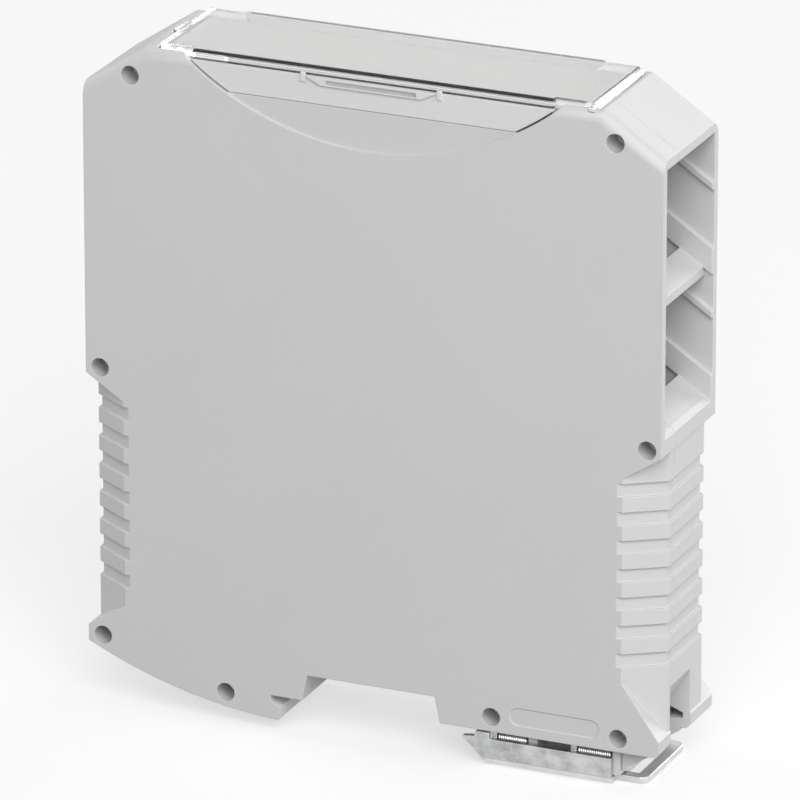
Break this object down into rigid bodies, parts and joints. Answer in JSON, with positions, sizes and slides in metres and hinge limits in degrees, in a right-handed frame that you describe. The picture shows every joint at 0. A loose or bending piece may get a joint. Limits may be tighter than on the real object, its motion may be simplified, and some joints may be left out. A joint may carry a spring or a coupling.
{
  "type": "din rail enclosure",
  "caption": "Narrow plastic electronics housing that clips on a 35 mm top-hat rail, with open plug bays, a sprung foot catch and a hinged clear cover.",
  "frame": {"origin": "middle of the rail seat: the rail's centre line, in the plane of the rail flanges' outer faces, halfway through the housing's thickness", "axes": "+X across the rail from the fixed hook to the sprung catch, +Y along the rail from the side shell to the main shell, +Z away from the rail towards the front cover"},
  "size_m": [0.099, 0.0226, 0.113],
  "materials": {
    "housing_plastic": "fine matt moulded, light grey",
    "marking_plate": "satin, mid grey",
    "clear_plastic": "polished, transparent",
    "zinc_sheet": "zinc plated",
    "spring_wire": "bright drawn wire"
  },
  "bodies": {
    "housing": {"main_shell": "housing_plastic", "side_shell": "housing_plastic", "front_cap": "housing_plastic", "label_insert": "marking_plate", "catch_spring_near_inner": "spring_wire", "catch_spring_near_outer": "spring_wire", "catch_spring_far_inner": "spring_wire", "catch_spring_far_outer": "spring_wire"},
    "cover": {"clear_cover": "clear_plastic"},
    "catch": {"foot_catch": "zinc_sheet"}
  },
  "joints": [
    {"name": "cover_hinge", "type": "hinge", "parent": "housing", "child": "cover", "pos_m": [0.0369, 0, 0.1059], "axis": [0, 1, 0], "range_deg": [0, 105]},
    {"name": "catch_slide", "type": "slide", "parent": "housing", "child": "catch", "axis": [1, 0, 0], "range_m": [0, 0.0025], "stiffness_N_per_m": 6000, "springref_m": -0.0005, "deforming": ["catch_spring_near_inner", "catch_spring_near_outer", "catch_spring_far_inner", "catch_spring_far_outer"]}
  ]
}
